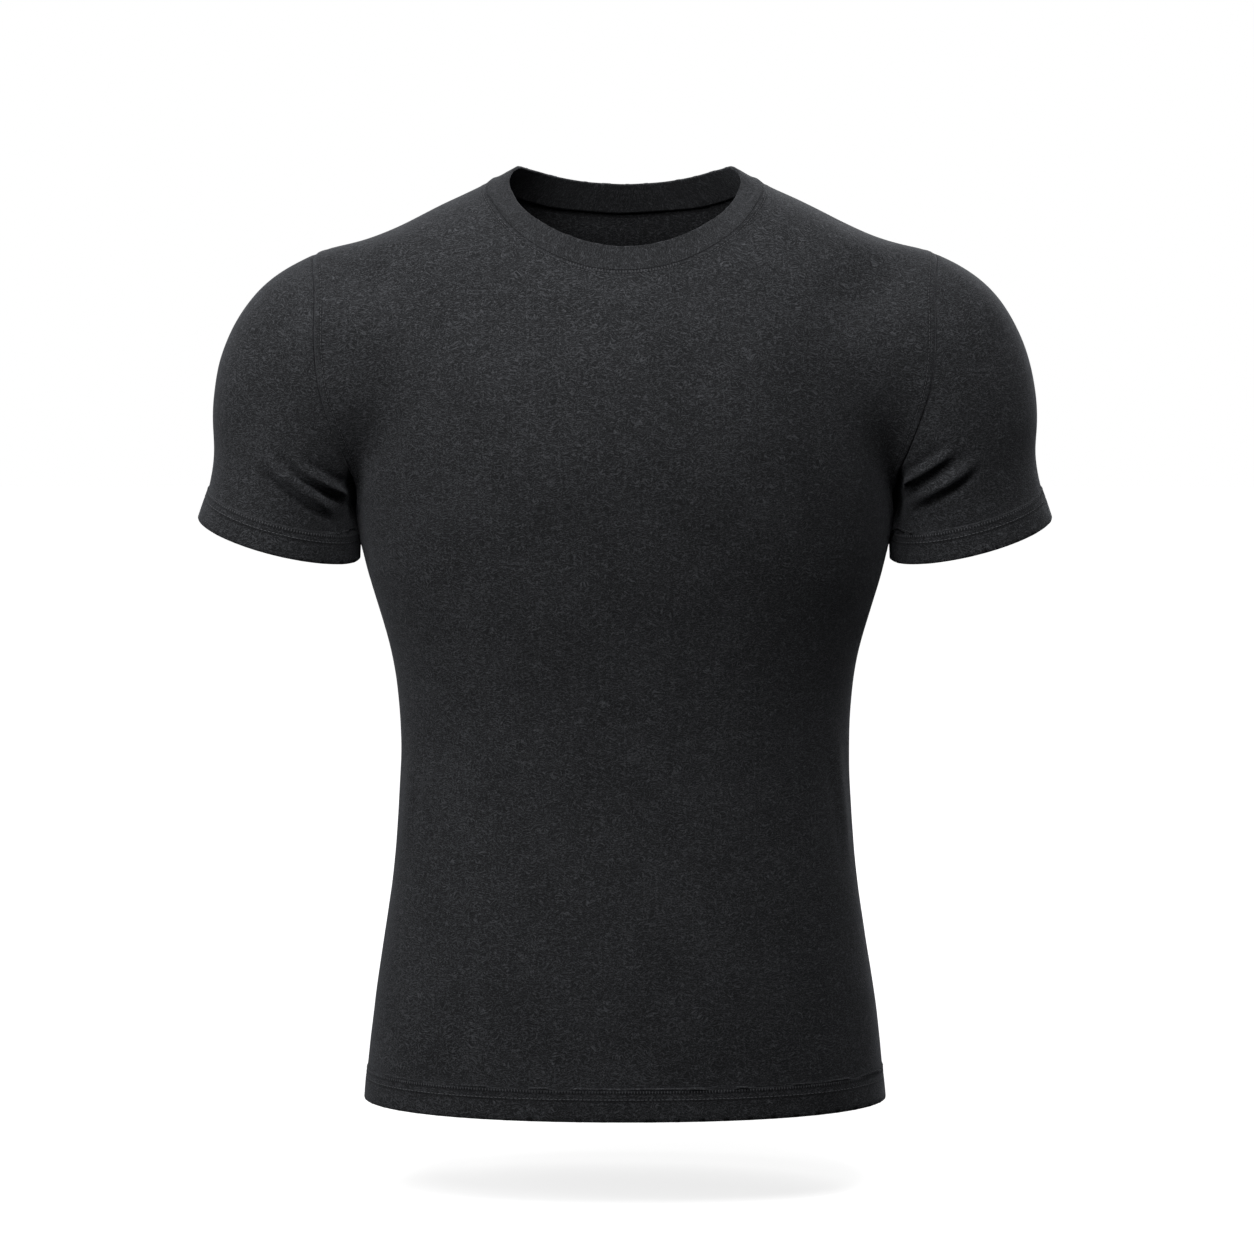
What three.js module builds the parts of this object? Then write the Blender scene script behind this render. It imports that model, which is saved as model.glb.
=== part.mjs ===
// A fitted training t-shirt with a crew neck and short set-in sleeves, filled out as it is when worn.
// Five cut pieces: front, back, two sleeves and a neck band. Every piece is a thin wall of cloth.
//
// Millimetres. +Z is up, the shirt faces -Y and +X is the wearer's left. The origin lies between the two
// points where the shoulder seams meet the neck band, which is where the wearer holds the shirt up.

import * as THREE from "three";

// ---------------------------------------------------------------- driving sizes

const CLOTH = 1.5; // wall of a single layer of jersey
const TURNED_HEM = 2.6; // wall where the edge is turned up and stitched
const BAND_WALL = 2.4; // wall of the neck band, a strip folded double
const SEAM_GAP = 0.3; // space between neighbouring pieces
const HEM_Z = -695; // bottom edge of the body
const BODY_HEM = 24; // height of the body's turned hem
const SLEEVE_HEM = 22; // height of a sleeve's turned hem
const HEM_STEP = 2; // height over which a hem's wall thins to the single cloth
const UNDERARM_Z = -262; // where side seam, sleeve and body meet

// The general figure that fills the body of the shirt, from the hem up. Each row is one level:
// height, half width, depth in front, depth behind, squareness of the outline (2 is an ellipse).
const FIGURE = [
  [-695, 196, 114, 127, 2.2],
  [-655, 192.5, 113, 126, 2.2],
  [-600, 185, 110, 121, 2.2],
  [-540, 176, 105, 110, 2.2],
  [-486, 170.5, 101, 98, 2.2],
  [-430, 168, 100, 90, 2.2],
  [-390, 170, 102, 91, 2.2],
  [-350, 177, 107, 97, 2.2],
  [-310, 189.5, 113, 105, 2.2],
  [-267, 198.5, 118, 112, 2.2],
  [-225, 206, 121, 117, 2.15],
  [-180, 213, 119, 118, 2.1],
  [-130, 219, 109, 111, 2.05],
  [-90, 222, 94, 97, 2],
  [-62, 217, 79, 83, 2],
  [-45, 176, 68, 73, 2],
  [-25, 136, 57, 64, 2],
  [-8, 101, 50, 56, 2],
  [8, 84, 46, 50, 2],
  [24, 74, 44, 48, 2],
];

// The upper arm that fills a sleeve, along its axis from the top of the shoulder down. Each row is one
// place on the axis: distance, reach outwards, reach towards the body, half depth.
const ARM_TOP = new THREE.Vector2(205, -115); // x and z of the zero of those distances
const ARM_SPREAD = THREE.MathUtils.degToRad(18.8); // angle between the arm and the upright
const ARM = [
  [-60, 1, 1, 1],
  [-45, 36, 20, 33],
  [-32, 52, 34, 47],
  [-12, 68, 50, 59],
  [10, 78, 60, 67],
  [37, 83.5, 62, 70],
  [63, 83.5, 60, 70],
  [107, 73, 52, 66],
  [129, 64, 50.5, 62.5],
  [150, 62, 57.8, 60.5],
  [164, 62, 62, 60],
  [200, 62, 66, 60],
];

// Seams and edges, as points that the shirt passes through, each x, y, z for the wearer's left half.
const ARMHOLE_TOP = [229, 4, -62];
const UNDERARM = [198, 0, UNDERARM_Z];
const ARMHOLE_FRONT = [
  [197.5, -19, -250],
  [199, -36, -234],
  [209, -52, -212],
  [218, -58, -187],
  [224, -64, -157],
  [227, -66, -127],
  [228, -54, -92],
];
const ARMHOLE_BACK = [
  [197.5, 21, -249],
  [199, 39, -232],
  [207, 56, -208],
  [214, 64, -180],
  [219, 68, -150],
  [223, 68, -120],
  [227, 56, -88],
];
const NECK_POINT = [101, 4, -9];
const SHOULDER_LINE = [
  [185, 5, -47],
  [135, 5, -24],
];
const NECK_FRONT = [
  [102, -16, -15],
  [96, -38, -29],
  [84, -55, -45],
  [65, -70, -60],
  [41, -81, -70.5],
  [19, -87, -75.5],
  [0, -88, -76.5],
];
const NECK_BACK = [
  [96, 26, -12],
  [82, 44, -18],
  [60, 56, -24],
  [32, 62, -27.5],
  [0, 65, -29],
];
const BAND_POINT = [81, 13, 3.5];
const BAND_FRONT = [
  [86, -7, -6],
  [81, -27, -21.5],
  [67.5, -50, -36],
  [45, -67, -49],
  [20, -76, -57],
  [0, -78, -59],
];
const BAND_BACK = [
  [71, 31, 2.5],
  [53, 45, -2],
  [28, 53, -6],
  [0, 55.5, -7.5],
];

// Faces along each stretch of a piece, and the rows of points that bound a turned hem.
const HEM_ROWS = 2;
const SHOULDER_COLUMNS = 7;
const NECK_COLUMNS = 14;
const COLUMNS = 2 * SHOULDER_COLUMNS + NECK_COLUMNS;
const ARMHOLE_ROWS = 12;
const SIDE_ROWS = 11;
const SLEEVE_ROWS = 8;
const BAND_ROWS = 3;

// Width of the blend of body into arm at each height: widest at chest height, a crease under the arm.
const BLEND = [
  [-240, 4],
  [-165, 46],
  [-115, 46],
  [-75, 10],
];
const CREASE_TOP_Z = -165; // the crease fades out between these two heights
const CREASE_Z = -240;

// A sleeve's cuff, as distances along the arm's axis.
const CUFF_CENTRE = 167;
const CUFF_OUTSIDE = 4; // how much further down the outside of the cuff is
const CUFF_FRONT = 11; // how much further down the front of the cuff is
const SHORTEST_SEAM = 4; // least length of sleeve above its hem
const SETTLING = 1.6; // how soon a sleeve leaves the armhole's shape for the arm's

// ---------------------------------------------------------------- the form that the cloth lies on

const table = (rows, Interpolant) =>
  new Interpolant(
    rows.map((row) => row[0]),
    rows.flatMap((row) => row.slice(1)),
    rows[0].length - 1,
  );
const figureAt = table(FIGURE, THREE.CubicInterpolant);
const armAt = table(ARM, THREE.CubicInterpolant);
const blendAt = table(BLEND, THREE.LinearInterpolant);

// How far a point is outside a rounded outline with the given reaches and squareness, measured from
// its centre.
function outside(u, v, reachU, reachV, power) {
  const ratio = ((Math.abs(u) / reachU) ** power + (Math.abs(v) / reachV) ** power) ** (1 / power);
  return Math.hypot(u, v) * (1 - 1 / ratio);
}

function torso(p) {
  const [halfWidth, front, back, power] = figureAt.evaluate(p.z);
  return outside(p.x, p.y, halfWidth, p.y < 0 ? front : back, power);
}

function arm(p) {
  const { along, across } = armPlace(p);
  const [outer, inner, depth] = armAt.evaluate(along);
  return outside(across, p.y, across > 0 ? outer : inner, depth, 2);
}

function armPlace(p) {
  const x = Math.abs(p.x) - ARM_TOP.x;
  const z = p.z - ARM_TOP.y;
  return {
    along: x * Math.sin(ARM_SPREAD) - z * Math.cos(ARM_SPREAD),
    across: x * Math.cos(ARM_SPREAD) + z * Math.sin(ARM_SPREAD),
  };
}

const PROBE = 0.25;

function gradient(form, p) {
  const slope = new THREE.Vector3();
  for (const axis of ["x", "y", "z"]) {
    const probe = p.clone();
    probe[axis] = p[axis] + PROBE;
    const ahead = form(probe);
    probe[axis] = p[axis] - PROBE;
    slope[axis] = (ahead - form(probe)) / (2 * PROBE);
  }
  return slope;
}

const distance = (form, p) => form(p) / gradient(form, p).length();

const creaseAt = (p) => 1 - THREE.MathUtils.smoothstep(p.z, CREASE_Z, CREASE_TOP_Z);

function wornForm(p) {
  const toTorso = distance(torso, p);
  const toArm = distance(arm, p);
  const [blend] = blendAt.evaluate(p.z);
  const mix = Math.max(blend - Math.abs(toTorso - toArm), 0) / blend;
  return Math.min(toTorso, toArm) - (mix * mix * blend) / 4;
}

const SETTLE_STEPS = 12;

// Moves a point onto the worn form along the form's own slope.
function settle(point, steps = SETTLE_STEPS) {
  const p = point.clone();
  for (let step = 0; step < steps; step += 1) {
    const slope = gradient(wornForm, p);
    p.addScaledVector(slope, -wornForm(p) / slope.lengthSq());
  }
  return p;
}

// Outward direction of the cloth at a point. In the crease under the arm each piece keeps its own.
function outward(p, own) {
  const shared = gradient(wornForm, p).normalize();
  return shared.lerp(gradient(own, p).normalize(), creaseAt(p)).normalize();
}

// ---------------------------------------------------------------- seam lines

const vectors = (rows) => rows.map((row) => new THREE.Vector3(...row));
const mirrored = (points) => points.map((p) => new THREE.Vector3(-p.x, p.y, p.z));
const spaced = (points, pieces) => new THREE.CatmullRomCurve3(points).getSpacedPoints(pieces);

// A seam through the given points, as evenly spaced points that lie on the worn form.
const seam = (rows, pieces) =>
  spaced(vectors(rows).map((p) => settle(p)), pieces).map((p) => settle(p));

const armhole = {
  front: seam([UNDERARM, ...ARMHOLE_FRONT, ARMHOLE_TOP], ARMHOLE_ROWS),
  back: seam([UNDERARM, ...ARMHOLE_BACK, ARMHOLE_TOP], ARMHOLE_ROWS),
};
const shoulder = seam([ARMHOLE_TOP, ...SHOULDER_LINE, NECK_POINT], SHOULDER_COLUMNS);
const neck = {
  front: seam([NECK_POINT, ...NECK_FRONT], NECK_COLUMNS / 2),
  back: seam([NECK_POINT, ...NECK_BACK], NECK_COLUMNS / 2),
};

// ---------------------------------------------------------------- cloth walls

// Two facing grids of points become one closed wall. A grid is a list of rows of equal length; in a
// closed grid each row joins its own start. The rows run so that their cross product points outwards.
// Each cell is split along its shorter diagonal.
function wall(outer, inner, closed) {
  const rows = outer.length;
  const columns = outer[0].length;
  const spans = closed ? columns : columns - 1;
  const points = [...outer.flat(), ...inner.flat()];
  const at = (side, i, j) => side * rows * columns + i * columns + (j % columns);
  const index = [];
  const quad = (a, b, c, d) => index.push(a, b, c, a, c, d);
  for (let i = 0; i < rows - 1; i += 1) {
    for (let j = 0; j < spans; j += 1) {
      const corners = [[i, j], [i, j + 1], [i + 1, j + 1], [i + 1, j]];
      const [a, b, c, d] = corners.map((corner) => points[at(0, ...corner)]);
      if (b.distanceTo(d) < a.distanceTo(c)) corners.push(corners.shift());
      quad(...corners.map((corner) => at(0, ...corner)));
      quad(...[corners[0], corners[3], corners[2], corners[1]].map((corner) => at(1, ...corner)));
    }
  }
  for (let j = 0; j < spans; j += 1) {
    quad(at(1, 0, j), at(1, 0, j + 1), at(0, 0, j + 1), at(0, 0, j));
    quad(at(0, rows - 1, j), at(0, rows - 1, j + 1), at(1, rows - 1, j + 1), at(1, rows - 1, j));
  }
  if (!closed) {
    for (let i = 0; i < rows - 1; i += 1) {
      const last = columns - 1;
      quad(at(0, i, 0), at(0, i + 1, 0), at(1, i + 1, 0), at(1, i, 0));
      quad(at(0, i + 1, last), at(0, i, last), at(1, i, last), at(1, i + 1, last));
    }
  }
  const geometry = new THREE.BufferGeometry();
  geometry.setFromPoints(points);
  geometry.setIndex(index);
  geometry.computeVertexNormals();
  return geometry;
}

// Half of the seam gap, square to the edge that runs from before to after, towards the inside point.
function setBack(edge, before, after, inside) {
  const along = after.clone().sub(before).normalize();
  const inwards = inside.clone().sub(edge);
  inwards.addScaledVector(along, -inwards.dot(along));
  return inwards.setLength(SEAM_GAP / 2);
}

// Builds the wall from outer points, their outward directions and the wall of each row.
function clothPiece(outer, directions, walls, setBacks, closed) {
  const moved = outer.map((row, i) => row.map((p, j) => p.clone().add(setBacks[i][j])));
  const inner = moved.map((row, i) =>
    row.map((p, j) => p.clone().addScaledVector(directions[i][j], -walls[i])),
  );
  return wall(moved, inner, closed);
}

// ---------------------------------------------------------------- front and back

const OUTLINE_STEPS = 48;

// One level of the body, from the wearer's right side seam to the left one.
function level(z, side) {
  const [halfWidth, front, back, power] = figureAt.evaluate(z);
  const depth = side < 0 ? front : back;
  const outline = [];
  for (let step = 0; step <= OUTLINE_STEPS; step += 1) {
    const turn = (step / OUTLINE_STEPS) * Math.PI;
    const x = -Math.sign(Math.cos(turn)) * Math.abs(Math.cos(turn)) ** (2 / power) * halfWidth;
    outline.push(new THREE.Vector3(x, side * Math.sin(turn) ** (2 / power) * depth, z));
  }
  return spaced(outline, COLUMNS);
}

const RELAX_ROUNDS = 36;
const RELAX_STEPS = 2;

// Fills a four-sided patch from its edges, then evens out the points inside it along the worn form.
function fill(bottom, top, left, right) {
  const rows = left.length - 1;
  const columns = bottom.length - 1;
  const patch = left.map((_, i) =>
    bottom.map((_, j) => {
      const u = j / columns;
      const v = i / rows;
      const p = new THREE.Vector3();
      p.addScaledVector(bottom[j], 1 - v).addScaledVector(top[j], v);
      p.addScaledVector(left[i], 1 - u).addScaledVector(right[i], u);
      p.addScaledVector(bottom[0], -(1 - u) * (1 - v)).addScaledVector(bottom[columns], -u * (1 - v));
      return p.addScaledVector(top[0], -(1 - u) * v).addScaledVector(top[columns], -u * v);
    }),
  );
  const moveInside = (move) => {
    const before = patch.map((row) => [...row]);
    for (let i = 1; i < rows; i += 1) {
      for (let j = 1; j < columns; j += 1) patch[i][j] = move(before, i, j);
    }
  };
  const relaxed = (before, i, j) => {
    const middle = before[i - 1][j].clone().add(before[i + 1][j]);
    middle.add(before[i][j - 1]).add(before[i][j + 1]).divideScalar(4);
    return settle(middle, RELAX_STEPS);
  };
  for (let round = 0; round < RELAX_ROUNDS; round += 1) moveInside(relaxed);
  moveInside((before, i, j) => settle(before[i][j]));
  return patch;
}

function bodyPanel(side) {
  const name = side < 0 ? "front" : "back";
  const hemTop = HEM_Z + BODY_HEM;
  const heights = [HEM_Z, hemTop, hemTop + HEM_STEP];
  for (let row = 1; row < SIDE_ROWS; row += 1) {
    heights.push(THREE.MathUtils.lerp(hemTop + HEM_STEP, UNDERARM_Z, row / SIDE_ROWS));
  }
  const lower = heights.map((z) => level(z, side));
  const left = armhole[name];
  const halfTop = [...shoulder, ...neck[name].slice(1)];
  const top = [...mirrored(halfTop), ...halfTop.slice(0, -1).reverse()];
  const bottom = level(UNDERARM_Z, side);
  bottom[0] = mirrored(left)[0];
  bottom[COLUMNS] = left[0];
  const outer = [...lower, ...fill(bottom, top, mirrored(left), left)];
  const last = outer.length - 1;
  const directions = outer.map((row) => row.map((p) => outward(p, torso)));
  const walls = outer.map((_, i) => (i < HEM_ROWS ? TURNED_HEM : CLOTH));
  const setBacks = outer.map((row, i) =>
    row.map((p, j) => {
      const shift = new THREE.Vector3();
      const before = outer[Math.max(i - 1, 0)];
      const after = outer[Math.min(i + 1, last)];
      if (j === 0) shift.add(setBack(p, before[j], after[j], row[j + 1]));
      if (j === COLUMNS) shift.add(setBack(p, before[j], after[j], row[j - 1]));
      if (i === last) {
        const previous = row[Math.max(j - 1, 0)];
        const next = row[Math.min(j + 1, COLUMNS)];
        shift.add(setBack(p, previous, next, outer[i - 1][j]));
      }
      return shift;
    }),
  );
  if (side > 0) {
    for (const grid of [outer, directions, setBacks]) grid.forEach((row) => row.reverse());
  }
  return clothPiece(outer, directions, walls, setBacks, false);
}

// ---------------------------------------------------------------- sleeves

// How far the left arm's form reaches from its axis, at a distance along it and a turn round it.
function armReach(along, turn) {
  const [outer, inner, depth] = armAt.evaluate(along);
  const across = Math.cos(turn);
  return 1 / Math.hypot(across / (across > 0 ? outer : inner), Math.sin(turn) / depth);
}

// The point at that place, raised above the form by the spare.
function armPoint(along, turn, spare) {
  const reach = armReach(along, turn) + spare;
  const across = reach * Math.cos(turn);
  return new THREE.Vector3(
    ARM_TOP.x + along * Math.sin(ARM_SPREAD) + across * Math.cos(ARM_SPREAD),
    reach * Math.sin(turn),
    ARM_TOP.y - along * Math.cos(ARM_SPREAD) + across * Math.sin(ARM_SPREAD),
  );
}

// Rows from the cuff's edge up to the armhole. A sleeve keeps the armhole's shape where it is sewn in
// and settles onto the arm's form below.
function sleeve(side) {
  const loop = [...armhole.front, ...armhole.back.slice(1, -1).reverse()];
  const lines = loop.map((p) => {
    const { along, across } = armPlace(p);
    const turn = Math.atan2(p.y, across);
    const spare = Math.hypot(across, p.y) - armReach(along, turn);
    const edge = CUFF_CENTRE + CUFF_OUTSIDE * Math.cos(turn) - CUFF_FRONT * Math.sin(turn);
    const hemTop = Math.max(edge - SLEEVE_HEM, along + SHORTEST_SEAM);
    return { along, turn, spare, edge, hemTop };
  });
  const outer = [
    lines.map(({ turn, edge }) => armPoint(edge, turn, 0)),
    lines.map(({ turn, hemTop }) => armPoint(hemTop, turn, 0)),
  ];
  for (let row = 0; row <= SLEEVE_ROWS; row += 1) {
    const sewn = row / SLEEVE_ROWS;
    outer.push(
      lines.map(({ along, turn, spare, hemTop }) =>
        armPoint(THREE.MathUtils.lerp(hemTop - HEM_STEP, along, sewn), turn, spare * sewn ** SETTLING),
      ),
    );
  }
  const last = outer.length - 1;
  const directions = outer.map((row, i) =>
    row.map((p) => {
      const own = gradient(arm, p).normalize();
      const sewn = Math.max(i - HEM_ROWS, 0) / SLEEVE_ROWS;
      return own.lerp(outward(p, arm), sewn).normalize();
    }),
  );
  const walls = outer.map((_, i) => (i < HEM_ROWS ? TURNED_HEM : CLOTH));
  const setBacks = closedEdgeSetBacks(outer, [last]);
  if (side < 0) {
    for (const grid of [outer, directions, setBacks]) {
      for (const row of grid) {
        row.reverse();
        row.forEach((p) => (p.x = -p.x));
      }
    }
  }
  return clothPiece(outer, directions, walls, setBacks, true);
}

// Seam gaps of a closed piece whose listed rows are sewn edges.
function closedEdgeSetBacks(outer, sewnRows) {
  return outer.map((row, i) =>
    row.map((p, j) => {
      if (!sewnRows.includes(i)) return new THREE.Vector3();
      const before = row[(j + row.length - 1) % row.length];
      const after = row[(j + 1) % row.length];
      const inside = outer[i === 0 ? 1 : i - 1][j];
      return setBack(p, before, after, inside);
    }),
  );
}

// ---------------------------------------------------------------- neck band

// A closed ring from its left front quarter and left back quarter, from right to left past the front.
function ring({ front, back }) {
  return [
    ...mirrored(front),
    ...front.slice(0, -1).reverse(),
    ...back.slice(1),
    ...mirrored(back).slice(1, -1).reverse(),
  ];
}

function neckBand() {
  const sewn = ring(neck);
  const top = ring({
    front: spaced(vectors([BAND_POINT, ...BAND_FRONT]), NECK_COLUMNS / 2),
    back: spaced(vectors([BAND_POINT, ...BAND_BACK]), NECK_COLUMNS / 2),
  });
  const outer = [];
  for (let row = 0; row <= BAND_ROWS; row += 1) {
    outer.push(sewn.map((p, j) => p.clone().lerp(top[j], row / BAND_ROWS)));
  }
  const directions = outer.map((row, i) =>
    row.map((p, j) => {
      if (i === 0) return outward(p, torso);
      const along = row[(j + 1) % row.length].clone().sub(row[(j + row.length - 1) % row.length]);
      return along.cross(top[j].clone().sub(sewn[j])).normalize();
    }),
  );
  const walls = outer.map((_, i) => (i === 0 ? CLOTH : BAND_WALL));
  return clothPiece(outer, directions, walls, closedEdgeSetBacks(outer, [0]), true);
}

// ---------------------------------------------------------------- the shirt

const JERSEY = { color: 0x2b2c2f, roughness: 0.9, metalness: 0 };

function piece(name, geometry) {
  const mesh = new THREE.Mesh(geometry, new THREE.MeshStandardMaterial(JERSEY));
  mesh.name = name;
  return mesh;
}

const shirt = new THREE.Group();
shirt.add(
  piece("front_panel", bodyPanel(-1)),
  piece("back_panel", bodyPanel(1)),
  piece("sleeve_right", sleeve(-1)),
  piece("sleeve_left", sleeve(1)),
  piece("neck_band", neckBand()),
);

export default shirt;
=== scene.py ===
# %% [markdown]
# # A training t-shirt, from the pattern to the stitches
#
# The shirt is knitted jersey, cut as a front, a back, two sleeves and a neck band. It stands filled out,
# as when it is worn, with nobody in it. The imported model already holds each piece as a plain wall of
# cloth. This lesson takes the outside of each wall, gives it fine cloth with creases, hems and seams,
# sews it with real stitches, and lights it like a studio photograph.

import math

import bmesh
import bpy
import numpy as np
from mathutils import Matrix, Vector, kdtree, noise
from mathutils.bvhtree import BVHTree


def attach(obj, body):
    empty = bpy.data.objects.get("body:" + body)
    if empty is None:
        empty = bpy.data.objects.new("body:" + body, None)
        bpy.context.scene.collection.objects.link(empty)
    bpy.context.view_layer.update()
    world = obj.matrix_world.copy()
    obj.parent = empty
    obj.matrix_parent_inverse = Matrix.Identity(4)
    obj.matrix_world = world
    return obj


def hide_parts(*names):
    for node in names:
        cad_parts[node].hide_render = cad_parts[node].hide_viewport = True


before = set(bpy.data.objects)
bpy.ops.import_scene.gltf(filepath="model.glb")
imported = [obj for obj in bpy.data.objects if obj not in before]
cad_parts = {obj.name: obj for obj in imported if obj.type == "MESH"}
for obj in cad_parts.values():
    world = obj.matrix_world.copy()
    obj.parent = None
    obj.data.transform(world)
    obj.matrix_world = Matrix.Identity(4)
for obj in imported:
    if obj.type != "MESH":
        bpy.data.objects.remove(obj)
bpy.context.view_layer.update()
MM = 0.001  # one millimetre, in Blender's metres
print("CAD nodes:", sorted(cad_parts))

# %% [markdown]
# ## Small helpers
#
# Every operator works on what is selected, and loading leaves the CAD nodes selected. So each step
# starts by selecting only the object that it means, and faces or edges are then chosen in code.


# %% Selecting
def only(*objects):
    """Select these objects and nothing else, and make the first one active."""
    bpy.ops.object.select_all(action="DESELECT")
    for one in objects:
        one.select_set(True)
    bpy.context.view_layer.objects.active = objects[0]


def enter(obj, kind):
    """Edit this object's points, edges or faces, with none of them selected."""
    only(obj)
    bpy.ops.object.mode_set(mode="EDIT")
    bpy.ops.mesh.select_mode(type=kind)
    bpy.ops.mesh.select_all(action="DESELECT")


def leave():
    bpy.ops.object.mode_set(mode="OBJECT")


def apply_all(obj):
    only(obj)
    for name in [m.name for m in obj.modifiers]:
        bpy.ops.object.modifier_apply(modifier=name)


def places(obj):
    """The mesh's points as an array."""
    flat = np.empty(len(obj.data.vertices) * 3)
    obj.data.vertices.foreach_get("co", flat)
    return flat.reshape(-1, 3)


def put(obj, points):
    obj.data.vertices.foreach_set("co", points.ravel())
    obj.data.update()


def ease(x):
    """A smooth step from 0 to 1."""
    x = np.clip(x, 0.0, 1.0)
    return x * x * (3.0 - 2.0 * x)


# %% [markdown]
# ## The outside of each piece
#
# A CAD piece is a closed wall: outside, inside and a narrow rim. Cloth is easier to shape as a single
# layer that gets its thickness last. So a copy of each node is merged, split along its sharp rim, and
# separated into loose parts, and the part that faces most away from the inside of the shirt is kept.
# Its triangles become quads again, because quads subdivide evenly and fold softly.


# %% Take the outsides
RIM_ANGLE = math.radians(50)  # the rim stands square to the cloth, and nothing else bends so far
MERGE = 0.001 * MM
PANELS = ("front_panel", "back_panel")
SLEEVES = ("sleeve_right", "sleeve_left")
PIECES = [*PANELS, *SLEEVES, "neck_band"]


CHEST_MIDDLE = Vector((0, 0, -300)) * MM
INSIDE = {"sleeve_right": Vector((-255, 0, -180)) * MM, "sleeve_left": Vector((255, 0, -180)) * MM}


def faces_out(part, middle):
    """How much of a part faces away from a point inside the shirt."""
    return sum(f.area * f.normal.dot(f.center - middle) for f in part.data.polygons)


def outside(node):
    copy = bpy.data.objects.new(f"cloth_{node}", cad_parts[node].data.copy())
    bpy.context.scene.collection.objects.link(copy)
    copy.data.materials.clear()
    only(copy)
    bpy.ops.mesh.customdata_custom_splitnormals_clear()
    enter(copy, "EDGE")
    bpy.ops.mesh.select_all(action="SELECT")
    bpy.ops.mesh.remove_doubles(threshold=MERGE)
    bpy.ops.mesh.select_all(action="DESELECT")
    bpy.ops.mesh.edges_select_sharp(sharpness=RIM_ANGLE)
    bpy.ops.mesh.edge_split(type="EDGE")
    bpy.ops.mesh.select_all(action="SELECT")
    bpy.ops.mesh.separate(type="LOOSE")
    leave()
    parts = list(bpy.context.selected_objects)
    layer = max(parts, key=lambda part: faces_out(part, INSIDE.get(node, CHEST_MIDDLE)))
    parts.remove(layer)
    for part in parts:
        bpy.data.objects.remove(part)
    layer.name = f"cloth_{node}"
    enter(layer, "VERT")  # a sharp bend inside the piece was split too, and is closed again
    bpy.ops.mesh.select_all(action="SELECT")
    bpy.ops.mesh.remove_doubles(threshold=MERGE)
    leave()
    return layer


def panel_to_quads(layer):
    """Pair the triangles of an open piece, keeping its regular grid."""
    enter(layer, "FACE")
    bpy.ops.mesh.select_all(action="SELECT")
    bpy.ops.mesh.tris_convert_to_quads(
        face_threshold=math.pi, shape_threshold=math.pi, topology_influence=2.0
    )
    leave()


def tube_to_quads(layer):
    """Pair the triangles of a tube, one ring after another from an open end."""
    shape = bmesh.new()
    shape.from_mesh(layer.data)
    ends = [edge for edge in shape.edges if edge.is_boundary]
    ring = {ends[0].verts[0]}
    while grown := {v for e in ends for v in e.verts if ring & set(e.verts)} - ring:
        ring |= grown
    left = set(shape.faces)
    diagonals = []
    while left:
        strip = {face for face in left if ring & set(face.verts)}
        left -= strip
        order = [next(iter(strip))]
        strip.discard(order[0])
        while strip:
            across = [e for e in order[-1].edges if len(ring & set(e.verts)) == 1]
            after = next(f for e in across for f in e.link_faces if f in strip)
            order.append(after)
            strip.discard(after)
        on_ring = [len(ring & set(face.verts)) for face in order]
        start = next((i for i, count in enumerate(on_ring) if count == on_ring[i - 1]), 0)
        order = order[start:] + order[:start]
        for one, other in zip(order[0::2], order[1::2]):
            diagonals.append(next(e for e in one.edges if other in e.link_faces))
        ring = {v for face in order for v in face.verts} - ring
    bmesh.ops.dissolve_edges(shape, edges=diagonals, use_verts=False)
    shape.to_mesh(layer.data)
    shape.free()


layers = {node: outside(node) for node in PIECES}
for node, layer in layers.items():
    if node in PANELS:
        panel_to_quads(layer)
    else:
        tube_to_quads(layer)
for node, layer in layers.items():
    corners = [len(f.vertices) for f in layer.data.polygons]
    print(node, len(corners), "faces, of which", corners.count(3), "are triangles")

# %% [markdown]
# ## The flat pattern
#
# Jersey has a grain: its columns of loops run down the body and along the sleeve. The UV map is that
# flat cut, in real metres, so the knit stays the same size everywhere and turns with each piece. A
# sleeve is opened along its underarm seam and the band at the centre of the back, as when they are cut.
# Unwrapping flattens a piece, and afterwards it is turned to its grain and scaled to its own area. The
# band would unwrap as an arc, but it is cut as a straight strip, so its quads are laid out in a row.


# %% Lay the pieces flat
def open_between(layer, start, end):
    """Mark the shortest row of edges between two points as a seam."""
    enter(layer, "VERT")
    leave()
    for goal in (start, end):
        nearest = min(layer.data.vertices, key=lambda v: (v.co - goal).length)
        nearest.select = True
    bpy.ops.object.mode_set(mode="EDIT")
    bpy.ops.mesh.shortest_path_select()
    bpy.ops.mesh.select_mode(type="EDGE")
    bpy.ops.mesh.mark_seam(clear=False)
    leave()


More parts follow.
